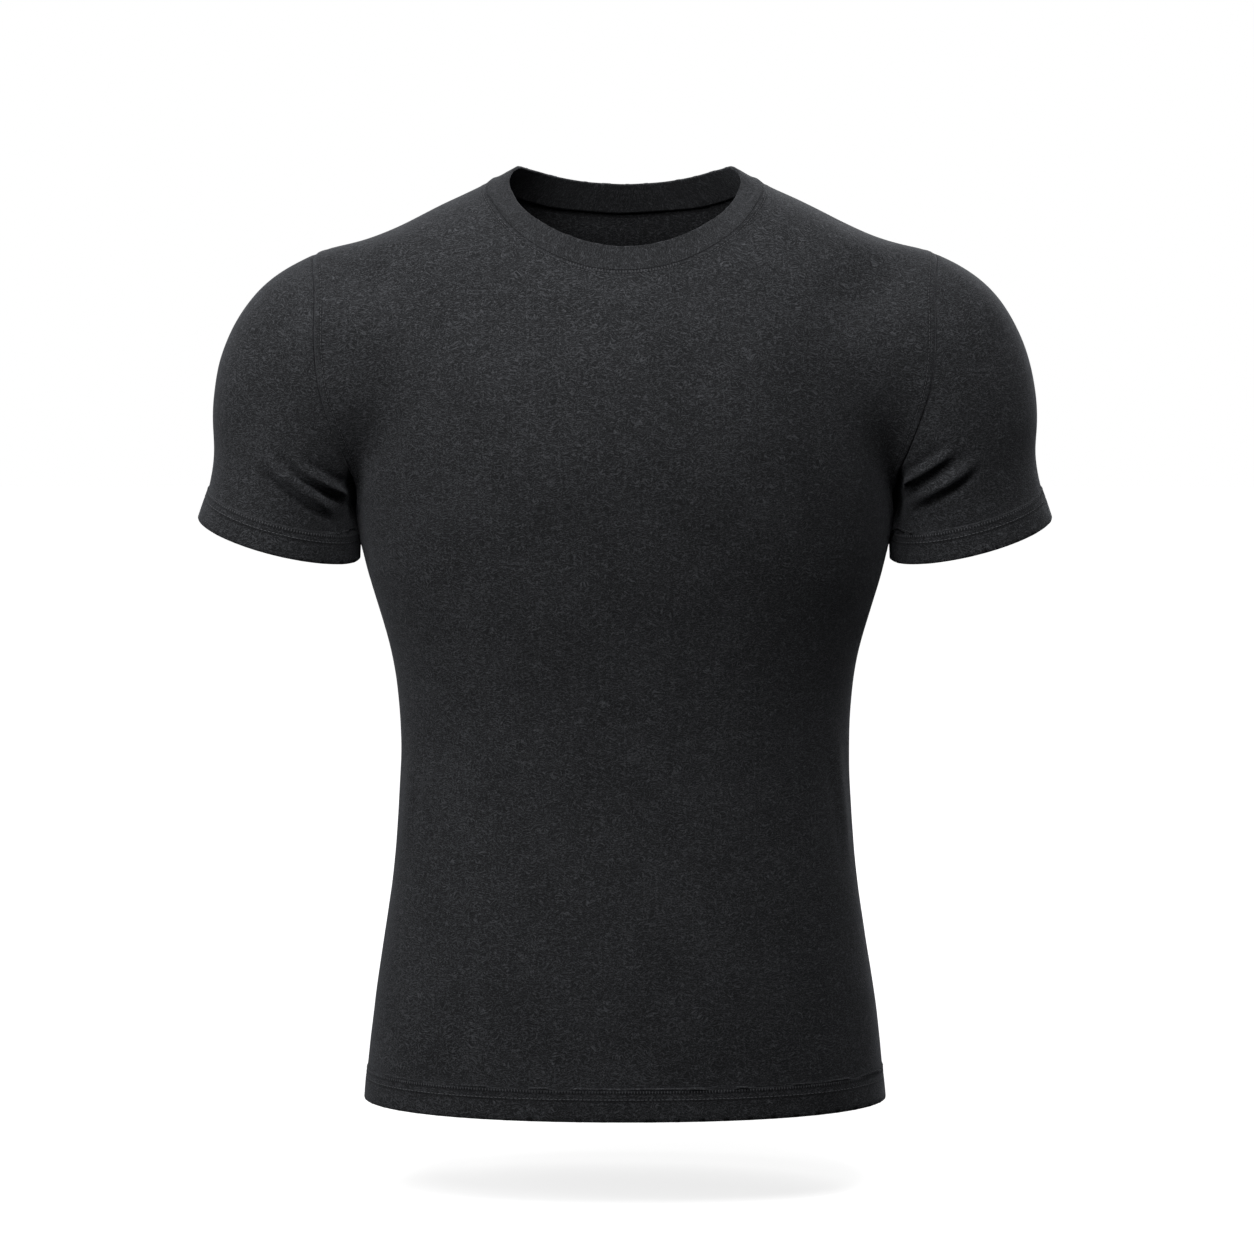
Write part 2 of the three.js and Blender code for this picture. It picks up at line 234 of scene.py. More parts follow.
def flatten(layer, grain):
    """Unwrap a piece with its grain upright, in metres, and give its width, length and area."""
    enter(layer, "FACE")
    bpy.ops.mesh.select_all(action="SELECT")
    bpy.ops.uv.unwrap(method="ANGLE_BASED", margin=0.0)
    leave()
    mesh = layer.data
    uv = np.empty(len(mesh.loops) * 2)
    mesh.uv_layers.active.data.foreach_get("uv", uv)
    uv = uv.reshape(-1, 2)
    corner = np.empty(len(mesh.loops), dtype=int)
    mesh.loops.foreach_get("vertex_index", corner)
    solid = places(layer)[corner]
    centred = uv - uv.mean(axis=0)
    along = (solid - solid.mean(axis=0)) @ np.array(grain)
    up = centred.T @ along
    up /= np.linalg.norm(up)
    turned = np.column_stack([centred @ np.array([up[1], -up[0]]), centred @ up])
    flat_area = 0.0
    for face in mesh.polygons:
        ring = turned[list(face.loop_indices)]
        ahead = np.roll(ring, -1, axis=0)
        flat_area += (ring[:, 0] * ahead[:, 1] - ring[:, 1] * ahead[:, 0]).sum() / 2
    real_area = sum(face.area for face in mesh.polygons)
    turned *= math.sqrt(real_area / abs(flat_area))
    if flat_area < 0:
        turned[:, 0] *= -1
    mesh.uv_layers.active.data.foreach_set("uv", turned.ravel())
    width, length = turned.max(axis=0) - turned.min(axis=0)
    return width, length, real_area


UNDERARM = Vector((198, 0, -262)) * MM
CUFF_INSIDE = Vector((197, 0, -290)) * MM
BAND_BACK = (Vector((0, 66, 3)) * MM, Vector((0, 66, -20)) * MM)
SLEEVE_LEAN = math.radians(18.8)  # the sleeve hangs outwards by this much
for side, sign in (("left", 1), ("right", -1)):
    turn = Vector((sign, 1, 1))
    open_between(layers[f"sleeve_{side}"], UNDERARM * turn, CUFF_INSIDE * turn)
open_between(layers["neck_band"], *BAND_BACK)
GRAIN = {
    "front_panel": (0, 0, 1),
    "back_panel": (0, 0, 1),
    "sleeve_right": (math.sin(SLEEVE_LEAN), 0, math.cos(SLEEVE_LEAN)),
    "sleeve_left": (-math.sin(SLEEVE_LEAN), 0, math.cos(SLEEVE_LEAN)),
    "neck_band": (0, 0, 1),
}


def straighten(layer):
    """Lay a ring of quads out as a straight strip: one face is squared, and the rest follow it."""
    mesh = layer.data
    real_area = sum(face.area for face in mesh.polygons)
    first = max(mesh.polygons, key=lambda face: face.area)
    corners = [mesh.vertices[i].co for i in first.vertices]
    sides = [corners[(i + 1) % 4] - corners[i] for i in range(4)]
    lying = 0 if abs(sides[0].z) < abs(sides[1].z) else 1
    wide = (sides[lying].length + sides[(lying + 2) % 4].length) / 2
    tall = (sides[(lying + 1) % 4].length + sides[(lying + 3) % 4].length) / 2
    square = [(0, 0), (wide, 0), (wide, tall), (0, tall)]
    chosen = first.index
    enter(layer, "FACE")
    leave()
    for i, loop in enumerate(mesh.polygons[chosen].loop_indices):
        mesh.uv_layers.active.data[loop].uv = square[(i - lying) % 4]
    mesh.polygons[chosen].select = True
    mesh.polygons.active = chosen
    bpy.ops.object.mode_set(mode="EDIT")
    bpy.ops.mesh.select_all(action="SELECT")
    bpy.ops.uv.follow_active_quads(mode="LENGTH")
    leave()
    uv = np.array([loop.uv for loop in mesh.uv_layers.active.data])
    width, length = uv.max(axis=0) - uv.min(axis=0)
    return width, length, real_area


cuts = {node: flatten(layer, GRAIN[node]) for node, layer in layers.items()}
cuts["neck_band"] = straighten(layers["neck_band"])
for node, (width, length, area) in cuts.items():
    print(f"{node}: cut {width:.3f} x {length:.3f} m, {area:.4f} m2")

# %% [markdown]
# ## One skin for the whole shirt
#
# Sewn cloth passes its curve from one piece to the next. The five layers are joined and welded along
# their seams, so that one Subdivision Surface rounds the whole shirt without a kink at any seam. Each
# piece keeps a marker material, which separates the pieces again later.

# %% Join, weld and subdivide
WELD = 0.6 * MM  # more than the space between two pieces, less than any cell
FINENESS = 3
for node, layer in layers.items():
    layer.data.materials.append(bpy.data.materials.new(f"marker_{node}"))
only(*layers.values())
bpy.ops.object.join()
shirt = bpy.context.view_layer.objects.active
shirt.name = "shirt_skin"
enter(shirt, "VERT")
bpy.ops.mesh.select_non_manifold()
bpy.ops.mesh.remove_doubles(threshold=WELD)
leave()
smooth = shirt.modifiers.new("rounding", "SUBSURF")
smooth.levels = FINENESS
smooth.render_levels = FINENESS
smooth.boundary_smooth = "PRESERVE_CORNERS"
sewn = places(shirt)
PULL_BACK = 0.8
for _ in range(3):  # rounding pulls points inwards, so they start as far outside as it pulls them
    rounded = shirt.evaluated_get(bpy.context.evaluated_depsgraph_get())
    put(shirt, places(shirt) + PULL_BACK * (sewn - places(rounded)[: len(sewn)]))
apply_all(shirt)
MARK = {slot.material.name.replace("marker_", ""): i for i, slot in enumerate(shirt.material_slots)}
print("shirt skin:", len(shirt.data.polygons), "quads")

# %% [markdown]
# ## How far each point lies from the edges and the seams
#
# Hems, seam ridges, stitches and their shading all follow an edge at a fixed distance. So the distance
# to the nearest open edge, armhole seam, neck seam and side or shoulder seam is measured once for each
# point and stored as an attribute, which the materials can read too.

# %% Measure from the edges
mesh = shirt.data
owner = np.empty(len(mesh.polygons), dtype=int)
mesh.polygons.foreach_get("material_index", owner)
beside = {}
for face in mesh.polygons:
    for key in face.edge_keys:
        beside.setdefault(key, []).append(owner[face.index])
NAME = {index: node for node, index in MARK.items()}


def kind_of(owners):
    """What an edge is: an open edge, or the seam between two different pieces."""
    names = {NAME[i] for i in owners}
    if len(owners) == 1:
        return {"neck": "band_edge", "slee": "cuff_edge"}.get(NAME[owners[0]][:4], "hem_edge")
    if len(names) == 1:
        return None
    if "neck_band" in names:
        return "neck_seam"
    if names == {"front_panel", "back_panel"}:
        return "side_seam"
    return "armhole_seam"


KINDS = ["hem_edge", "cuff_edge", "band_edge", "neck_seam", "side_seam", "armhole_seam"]
lines = {kind: [] for kind in KINDS}
for key, owners in beside.items():
    kind = kind_of(owners)
    if kind:
        lines[kind].append(key)
LINE_STEPS = 4  # points placed along each edge of a seam, so that distances are exact
FAR = 60 * MM
points = places(shirt)
reach = {}
for kind, keys in lines.items():
    tree = kdtree.KDTree(len(keys) * LINE_STEPS)
    for i, (a, b) in enumerate(keys):
        for step in range(LINE_STEPS):
            share = step / LINE_STEPS
            tree.insert(points[a] * (1 - share) + points[b] * share, i * LINE_STEPS + step)
    tree.balance()
    reach[kind] = np.array([min(tree.find(p)[2], FAR) for p in points])
    print(kind, len(keys), "edges")

# which pieces each point belongs to
belongs = {node: np.zeros(len(points), dtype=bool) for node in PIECES}
for face in mesh.polygons:
    belongs[NAME[owner[face.index]]][list(face.vertices)] = True
body = belongs["front_panel"] | belongs["back_panel"]
sleeves = belongs["sleeve_left"] | belongs["sleeve_right"]
band = belongs["neck_band"]

# %% [markdown]
# ## Creases, placed one by one
#
# Where a sleeve turns down from the shoulder, the spare cloth gathers into two short folds that run
# from the armpit up across the sleeve. Each is a round ridge with a crisp valley on one side and a
# softer one on the other. Against the body the sleeve sinks into a deep hollow. A simulation would put
# folds somewhere else, so these are drawn as lines on the cloth, and each line lifts and dips the
# points beside it. The back of each sleeve gets similar ones, and the waist very soft ones.


# %% The crease tool
def normals():
    flat = np.empty(len(shirt.data.vertices) * 3)
    shirt.data.vertices.foreach_get("normal", flat)
    return flat.reshape(-1, 3)


def on_cloth(line, side, tree):
    """Drop the points of a line, given as x and z, on the front (-1) or the back (1) of the cloth."""
    found = []
    for x, z in line:
        hit = tree.ray_cast(Vector((x * MM, side, z * MM)), Vector((0, -side, 0)))[0]
        if hit is not None:
            found.append(np.array(hit))
    return np.array(found)


def smooth_line(knots, spacing=1.5 * MM):
    """A smooth curve through the knots, as closely spaced points."""
    padded = np.vstack([2 * knots[0] - knots[1], knots, 2 * knots[-1] - knots[-2]])
    out = []
    for a, b, c, d in zip(padded[:-3], padded[1:-2], padded[2:-1], padded[3:]):
        steps = max(2, int(np.linalg.norm(c - b) / spacing))
        for t in np.arange(steps) / steps:
            bend = 2 * b + (c - a) * t
            bend = bend + (2 * a - 5 * b + 4 * c - d) * t**2
            out.append((bend + (3 * b - a - 3 * c + d) * t**3) / 2)
    out.append(knots[-1])
    return np.array(out)


FADE = 0.35  # how much of a crease, at each end, it takes to rise
CRISP_VALLEY = (1.45, 0.62, 1.0)  # how far out, how wide and how deep, as shares of the crease's own
SOFT_VALLEY = (1.6, 0.75, 0.55)


def crease(line, mask, width, rise, dip, lean):
    """Lift the cloth along a line and dip it beside it, with the crisp valley where lean says."""
    global points
    facing = normals()
    room = 5 * width
    low = line.min(axis=0) - room
    high = line.max(axis=0) + room
    near = mask & ((points > low) & (points < high)).all(axis=1)
    index = np.nonzero(near)[0]
    here = points[index]
    apart = here[:, None, :] - line[None, :, :]
    closest = (apart**2).sum(axis=2).argmin(axis=1)
    tangent = np.gradient(line, axis=0)
    tangent /= np.linalg.norm(tangent, axis=1, keepdims=True)
    gap = apart[np.arange(len(index)), closest]
    across = np.cross(tangent[closest], facing[index])
    s = (gap * across).sum(axis=1)
    beyond = np.abs((gap * tangent[closest]).sum(axis=1))
    share = closest / (len(line) - 1)
    strength = ease(share / FADE) * ease((1 - share) / FADE) * np.exp(-((beyond / width) ** 2))
    lift = rise * np.exp(-((s / width) ** 2))
    for way, (out, wide, deep) in ((lean, CRISP_VALLEY), (-lean, SOFT_VALLEY)):
        lift -= deep * dip * np.exp(-(((s - way * out * width) / (wide * width)) ** 2))
    points[index] += facing[index] * (lift * strength)[:, None]
    put(shirt, points)


# %% Draw the creases
# points as x and z, then width, rise, dip and lean; all in millimetres but the lean
UPPER_RIGHT = [(-248, -208), (-237, -221), (-225, -229), (-213, -236), (-203, -242), (-199, -245)]
LOWER_RIGHT = [(-270, -210), (-255, -223), (-242, -233), (-231, -241), (-220, -249), (-209, -256)]
UPPER_LEFT = [(244, -203), (234, -212), (225, -219), (212, -228), (203, -235), (199, -239)]
LOWER_LEFT = [(262, -210), (250, -221), (239, -230), (229, -236), (217, -243), (207, -248)]
HOLLOW = [(203, -218), (201, -240), (199, -262), (198, -284)]
FRONT_SLEEVE_FOLDS = [
    (UPPER_RIGHT, 4.2, 3.0, 2.3, 1),
    (LOWER_RIGHT, 5.0, 3.6, 2.9, 1),
    ([(-x, z) for x, z in HOLLOW], 8.0, -4.4, 0.0, 1),
    (UPPER_LEFT, 4.2, 2.8, 2.2, -1),
    (LOWER_LEFT, 4.8, 3.2, 2.6, -1),
    (HOLLOW, 8.0, -4.4, 0.0, 1),
]
BACK_SLEEVE_FOLDS = [
    ([(-246, -198), (-231, -212), (-217, -224), (-205, -236)], 4.2, 2.6, 2.4, -1),
    ([(-262, -218), (-242, -234), (-224, -246), (-208, -252)], 4.6, 2.2, 2.0, -1),
    ([(244, -202), (229, -215), (216, -227), (204, -238)], 4.2, 2.4, 2.3, 1),
    ([(260, -215), (242, -230), (226, -241), (210, -249)], 4.6, 2.1, 1.9, 1),
]
FRONT, BACK = -1, 1
BODY_FOLDS = [
    (FRONT, [(152, -400), (158, -440), (164, -490), (166, -530)], 9, 1.0, 0.7, 1),
    (FRONT, [(-156, -420), (-161, -464), (-165, -510)], 9, 0.7, 0.5, -1),
    (BACK, [(-120, -395), (-60, -408), (0, -412), (60, -406), (115, -396)], 16, 1.3, 1.0, -1),
    (BACK, [(-95, -440), (-30, -449), (40, -448), (100, -438)], 14, 1.0, 0.8, 1),
    (BACK, [(-165, -330), (-120, -352), (-70, -366)], 12, 1.2, 0.8, -1),
    (BACK, [(165, -326), (122, -348), (74, -364)], 12, 1.1, 0.8, 1),
    (BACK, [(-178, -262), (-140, -300), (-112, -330)], 10, 1.0, 0.7, -1),
    (BACK, [(178, -258), (142, -298), (110, -326)], 10, 1.0, 0.7, 1),
]
mesh.update()
points = places(shirt)
surface = BVHTree.FromPolygons(
    [Vector(p) for p in points], [tuple(f.vertices) for f in shirt.data.polygons]
)
folds = [(FRONT, *fold, sleeves) for fold in FRONT_SLEEVE_FOLDS]
folds += [(BACK, *fold, sleeves) for fold in BACK_SLEEVE_FOLDS]
folds += [(*fold, body) for fold in BODY_FOLDS]
drawn = [(smooth_line(on_cloth(fold[1], fold[0], surface)), fold) for fold in folds]
for line, (_, _, width, rise, dip, lean, mask) in drawn:
    crease(line, mask, width * MM, rise * MM, dip * MM, lean)
print(len(drawn), "creases drawn")

# %% [markdown]
# ## Cloth is never perfectly even
#
# Jersey over a smooth form still wanders by a fraction of a millimetre, over patches as wide as a hand
# and down to a thumb. That is what makes a smooth highlight look like cloth. Noise from fixed places
# gives the same result on every run.

# %% Uneven cloth
PATCHES = [(55 * MM, 0.55 * MM), (22 * MM, 0.16 * MM)]  # size of a patch and its height
CALM = 20 * MM  # the edges stay even
facing = normals()
from_edge = np.minimum(reach["hem_edge"], np.minimum(reach["cuff_edge"], reach["band_edge"]))
for size, height in PATCHES:
    wander = np.array([noise.noise(Vector(p) / size) for p in points])
    points += facing * (wander * height * ease(from_edge / CALM))[:, None]
put(shirt, points)

# %% [markdown]
# ## Hems and seams in relief
#
# A hem is the cloth turned up once, so it stands a little proud up to the rows of stitches that hold
# it, and the stitches pull shallow channels into it. Beside a seam the allowance is pressed to one
# side, which lifts a strip about five millimetres wide, while the seam itself sinks in.

# %% Raise the hems and seams
BODY_HEM = 24 * MM
SLEEVE_HEM = 23 * MM
HEM_RISE = 0.7 * MM
BODY_ROWS = (16.5 * MM, 22 * MM)  # rows of stitches, from the edge
CUFF_ROWS = (16 * MM, 21 * MM)
NECK_TICKS = 1.5 * MM
NECK_ROW = 3.4 * MM
ARMHOLE_ROW = 5.0 * MM


GROOVE = 0.9 * MM  # half the width of a channel or a sunken seam


def channel(distance, row, depth):
    """The dent that a row of stitches pulls into the cloth."""
    return -depth * MM * np.exp(-(((distance - row) / GROOVE) ** 2))


relief = np.zeros(len(points))
for which, kind, hem, stitched in (
    (body, "hem_edge", BODY_HEM, BODY_ROWS),
    (sleeves & ~body, "cuff_edge", SLEEVE_HEM, CUFF_ROWS),
):
    edge = reach[kind][which]
    relief[which] += HEM_RISE * (1 - ease((edge - hem) / (1.5 * MM) + 0.5))
    for row in stitched:
        relief[which] += channel(edge, row, 0.35)


def allowance(distance, width, rise, sink):
    """The strip over a pressed seam allowance, and the sunken line of the seam, in millimetres."""
    strip = ease(distance / (1.2 * MM)) * (1 - ease((distance - width * MM) / (1.5 * MM)))
    return rise * MM * strip - sink * MM * np.exp(-((distance / GROOVE) ** 2))


relief += np.where(body, allowance(reach["armhole_seam"], 6.5, 0.35, 0.5), 0.0)
relief += np.where(body & ~band, allowance(reach["neck_seam"], 4.5, 0.2, 0.45), 0.0)
relief += allowance(reach["side_seam"], 5.0, 0.1, 0.2)
relief += np.where(body, channel(reach["armhole_seam"], ARMHOLE_ROW, 0.3), 0.0)
relief += np.where(body, channel(reach["neck_seam"], NECK_ROW, 0.25), 0.0)
points += normals() * relief[:, None]
put(shirt, points)
for kind in reach:
    stored = shirt.data.attributes.new(kind, "FLOAT", "POINT")
    stored.data.foreach_set("value", reach[kind])
print("relief from", round(relief.min() / MM, 2), "to", round(relief.max() / MM, 2), "mm")

# %% [markdown]
# ## Where the stitches go
#
# A row of stitches lies at a fixed distance from its edge or seam, so it is a contour line of the
# distances just measured. The contour is traced across the quads, one crossing to the next, and turned
# into a curve that lies just on the cloth. The hems have a row of dashes and above it a row of upright
# ticks, and the neck has ticks across the middle of the front.


# %% Trace the rows
def contour(distance, level, faces):
    """Closed loops of points where the distance equals the level."""
    crossing = {}
    step = {}
    for face in faces:
        found = []
        for a, b in face.edge_keys:
            da, db = distance[a] - level, distance[b] - level
            if da * db < 0:
                share = da / (da - db)
                crossing[(a, b)] = points[a] * (1 - share) + points[b] * share
                found.append((a, b))
        if len(found) == 2:
            step.setdefault(found[0], []).append(found[1])
            step.setdefault(found[1], []).append(found[0])
    loops = []
    while step:
        start = min(step, key=lambda key: len(step[key]))
        loop = [start]
        here = step.pop(start)[0]
        while here in step:
            loop.append(here)
            ways = step.pop(here)
            here = next((w for w in ways if w in step), start)
        loops.append(np.array([crossing[key] for key in loop]))
    return loops


def lengths(loop):
    return np.linalg.norm(np.roll(loop, -1, axis=0) - loop, axis=1)


def relax(loop, spacing):
    """Space the points of a closed loop evenly, and smooth it."""
    far = np.concatenate([[0.0], np.cumsum(lengths(loop))])
    closed = np.vstack([loop, loop[:1]])
    wanted = np.linspace(0.0, far[-1], max(8, int(far[-1] / spacing)), endpoint=False)
    even = np.column_stack([np.interp(wanted, far, closed[:, i]) for i in range(3)])
    for _ in range(3):
        even = (np.roll(even, 1, axis=0) + 2 * even + np.roll(even, -1, axis=0)) / 4
    return even


quads = list(shirt.data.polygons)
body_quads = [f for f in quads if NAME[f.material_index] in PANELS]
sleeve_quads = [f for f in quads if NAME[f.material_index] in SLEEVES]
# a stitch's size along the row, into the cloth and across the row, and the pitch, in millimetres
DASH = (2.4, 0.60, 0.60, 3.0)
FINE_DASH = (2.4, 0.36, 0.36, 3.0)
TICK = (0.60, 0.60, 2.3, 2.2)
ROWS = {
    "hem_stitches": [
        (reach["hem_edge"], BODY_ROWS[0], body_quads, DASH),
        (reach["hem_edge"], BODY_ROWS[1], body_quads, TICK),
    ],
    "cuff_stitches": [
        (reach["cuff_edge"], CUFF_ROWS[0], sleeve_quads, DASH),
        (reach["cuff_edge"], CUFF_ROWS[1], sleeve_quads, TICK),
    ],
    "neck_stitches": [
        (reach["neck_seam"], NECK_ROW, body_quads, FINE_DASH),
        (reach["neck_seam"], NECK_TICKS, body_quads, TICK),
    ],
    "armhole_stitches": [(reach["armhole_seam"], ARMHOLE_ROW, body_quads, FINE_DASH)],
}
SHORTEST_ROW = 0.2  # in metres; a shorter loop is only a stray crossing
ROW_STEP = 1.2 * MM
TICKS_REACH = 42 * MM  # the neck has ticks only across the middle of the front
rows = {name: [] for name in ROWS}
for name, wanted in ROWS.items():
    for distance, level, faces, stitch in wanted:
        for loop in contour(distance, level, faces):
            if len(loop) < 4 or lengths(loop).sum() < SHORTEST_ROW:
                continue
            loop = relax(loop, ROW_STEP)
            closed = level != NECK_TICKS
            if not closed:
                loop = loop[(np.abs(loop[:, 0]) < TICKS_REACH) & (loop[:, 1] < 0)]
                loop = loop[np.argsort(loop[:, 0])]
            rows[name].append((loop, closed, stitch))
            print(name, len(loop), "points, closed" if closed else "points, open")

# %% [markdown]
# ## Back to five pieces, each with a thickness
#
# The skin is separated by its marker materials. Each piece then gets its wall inwards, so that the
# outside stays where it is: a single layer of jersey, twice that where the cloth is turned up, and the
# neck band, which is a folded strip. A small bevel rounds the open rims. At a seam the rims of two
# pieces stay square and touch, so that no light comes through.

# %% Give the cloth its wall
JERSEY = 0.9 * MM
TURNED = 1.9 * MM
BAND_WALL = 2.2 * MM
WALL = {node: TURNED for node in PIECES} | {"neck_band": BAND_WALL}
RIM_ROUND = 0.35 * MM
BAND_ROUND = 1.6 * RIM_ROUND
ON_EDGE = 0.05 * MM
OPEN_EDGE = {node: "hem_edge" for node in PANELS} | {node: "cuff_edge" for node in SLEEVES}
OPEN_EDGE["neck_band"] = "band_edge"
enter(shirt, "FACE")
bpy.ops.mesh.select_all(action="SELECT")
bpy.ops.mesh.separate(type="MATERIAL")
leave()
cloth = {}
for part in list(bpy.context.selected_objects):
    node = part.material_slots[part.data.polygons[0].material_index].material.name
    node = node.replace("marker_", "")
    part.name = f"shirt_{node}"
    cloth[node] = part
for node, part in cloth.items():
    part.data.materials.clear()
    edge = np.empty(len(part.data.vertices))
    hem = SLEEVE_HEM if node in SLEEVES else BODY_HEM
    part.data.attributes[OPEN_EDGE[node]].data.foreach_get("value", edge)
    thick = JERSEY + (TURNED - JERSEY) * (1 - ease((edge - hem) / (2 * MM) + 0.5))
    if node == "neck_band":
        thick = np.full(len(edge), BAND_WALL)
    group = part.vertex_groups.new(name="wall")
    for share in np.unique(np.round(thick / WALL[node], 2)):
        which = np.nonzero(np.round(thick / WALL[node], 2) == share)[0]
        group.add(which.tolist(), float(share), "REPLACE")
    wall = part.modifiers.new("wall", "SOLIDIFY")
    wall.thickness = WALL[node]
    wall.offset = -1
    wall.vertex_group = "wall"
    apply_all(part)
    open_rim = part.data.attributes[OPEN_EDGE[node]].data
    on_rim = {i for i, stored in enumerate(open_rim) if stored.value < ON_EDGE}
    enter(part, "EDGE")
    bpy.ops.mesh.edges_select_sharp(sharpness=RIM_ANGLE)
    leave()
    sharp = [e.index for e in part.data.edges if e.select]
    sharp = [i for i in sharp if on_rim.issuperset(part.data.edges[i].vertices)]
    enter(part, "EDGE")
    leave()
    for i in sharp:
        part.data.edges[i].select = True
    print("rounding", len(sharp), "rim edges")
    bpy.ops.object.mode_set(mode="EDIT")
    rounding = BAND_ROUND if node == "neck_band" else RIM_ROUND
    bpy.ops.mesh.bevel(offset=rounding, segments=2, affect="EDGES")
    leave()
    bpy.ops.object.shade_smooth()
    part.vertex_groups.clear()
    print(part.name, sum(len(f.vertices) - 2 for f in part.data.polygons), "triangles")

# %% [markdown]
# ## Stitches
#
# One thread is modelled for each row: a small ball stretched along the row for a dash, or across it for
# a tick, with half of its depth in the cloth. An Array repeats it along the row, and a Curve modifier
# bends the array onto the row's line. The curve keeps its own upright, so the ticks stay upright too.

# %% Sew the rows
thread_of = {}


def sew(name, loops):
    done = []
    for loop, closed, (along, deep, across, pitch) in loops:
        curve = bpy.data.curves.new(f"{name}_line", "CURVE")
        curve.dimensions = "3D"
        curve.twist_mode = "Z_UP"
        spline = curve.splines.new("POLY")
        spline.points.add(len(loop) - 1)
        spline.points.foreach_set("co", np.column_stack([loop, np.ones(len(loop))]).ravel())
        spline.use_cyclic_u = closed
        line = bpy.data.objects.new(f"{name}_line", curve)
        bpy.context.scene.collection.objects.link(line)
        total = lengths(loop).sum() if closed else lengths(loop)[:-1].sum()
        count = round(total / (pitch * MM))
        bpy.ops.object.select_all(action="DESELECT")
        bpy.ops.mesh.primitive_uv_sphere_add(segments=6, ring_count=4, radius=0.5 * MM)
        one = bpy.context.object
        if along > across:
            bpy.ops.transform.rotate(value=math.pi / 2, orient_axis="Y", center_override=(0, 0, 0))
        bpy.ops.transform.resize(value=(along, deep, across), center_override=(0, 0, 0))
        bpy.ops.object.transform_apply(location=True, rotation=True, scale=True)
        repeat = one.modifiers.new("repeat", "ARRAY")
        repeat.fit_type = "FIXED_COUNT"
        repeat.count = count
        repeat.use_relative_offset = False
        repeat.use_constant_offset = True
        repeat.constant_offset_displace = (total / count, 0, 0)
        bend = one.modifiers.new("bend", "CURVE")
        bend.object = line
        bend.deform_axis = "POS_X"
        apply_all(one)
        bpy.ops.object.shade_smooth()
        bpy.data.objects.remove(line)
        done.append(one)
    only(*done)
    if len(done) > 1:
        bpy.ops.object.join()
    sewn = bpy.context.view_layer.objects.active
    sewn.name = name
    print(name, len(sewn.data.polygons), "faces")
    return sewn


for name, loops in rows.items():
    thread_of[name] = sew(name, loops)

# %% [markdown]
# ## The marled jersey
#
# The cloth is charcoal with a lighter yarn showing through as fine curls, about a millimetre thick and
# half a centimetre long, that wander across the body. The places where a noise passes its middle value
# are such thin winding lines. Stretching the noise along the courses lays them down, and bending its
# coordinates with a broader noise makes them swirl. The same pattern lifts the surface a little, so
# that it also catches the light. It is a node group, because every cloth material uses it.


# %% Node tools
def group(name, inputs, outputs):
    """A new shader node group with its sockets."""
    tree = bpy.data.node_groups.new(name, "ShaderNodeTree")
    for socket, kind, value in inputs:
        made = tree.interface.new_socket(socket, in_out="INPUT", socket_type=kind)
        if value is not None:
            made.default_value = value
    for socket, kind in outputs:
        tree.interface.new_socket(socket, in_out="OUTPUT", socket_type=kind)
    return tree, tree.nodes.new("NodeGroupInput"), tree.nodes.new("NodeGroupOutput")


def calc(tree, operation, a, b=0.0, clamp=False):
    """A Math node on two values or sockets."""
    node = tree.nodes.new("ShaderNodeMath")
    node.operation = operation
    node.use_clamp = clamp
    for socket, value in zip(node.inputs, (a, b)):
        if isinstance(value, (int, float)):
            socket.default_value = value
        else:
            tree.links.new(value, socket)
    return node.outputs[0]


def noise_at(tree, vector, scale, detail=2.0, rough=0.5):
    node = tree.nodes.new("ShaderNodeTexNoise")
    node.inputs["Scale"].default_value = scale
    node.inputs["Detail"].default_value = detail
    node.inputs["Roughness"].default_value = rough
    tree.links.new(vector, node.inputs["Vector"])
    return node


def vector_math(tree, operation, a, b):
    node = tree.nodes.new("ShaderNodeVectorMath")
    node.operation = operation
    for socket, value in zip(node.inputs, (a, b)):
        if isinstance(value, tuple):
            socket.default_value = value
        else:
            tree.links.new(value, socket)
    return node.outputs[0]


def between(tree, value, low, high):
    """Map a value from low..high to 0..1, smoothly."""
    node = tree.nodes.new("ShaderNodeMapRange")
    node.interpolation_type = "SMOOTHSTEP"
    node.inputs["From Min"].default_value = low
    node.inputs["From Max"].default_value = high
    tree.links.new(value, node.inputs["Value"])
    return node.outputs[0]


# %% The marl group
marl, start, end = group(
    "marled_jersey",
    [("Flat", "NodeSocketVector", None)],
    [("Marl", "NodeSocketFloat"), ("Speck", "NodeSocketFloat")],
)
flat = vector_math(marl, "MULTIPLY", start.outputs["Flat"], (1000.0, 1000.0, 0.0))  # in millimetres
swirl = noise_at(marl, flat, 0.10, 1.0).outputs["Color"]
swirl = vector_math(marl, "SUBTRACT", swirl, (0.5, 0.5, 0.5))
swirl = vector_math(marl, "MULTIPLY", swirl, (9.0, 9.0, 0.0))
bent = vector_math(marl, "ADD", flat, swirl)


def strands(space, stretch, sharp):
    """Thin winding strands: the narrow places where a noise passes its middle value."""
    stretched = vector_math(marl, "MULTIPLY", space, stretch)
    level = noise_at(marl, stretched, 1.0, 1.0, 0.5).outputs["Fac"]
    away = calc(marl, "ABSOLUTE", calc(marl, "SUBTRACT", level, 0.5))
    return calc(marl, "SUBTRACT", 1.0, calc(marl, "MULTIPLY", away, sharp), clamp=True)


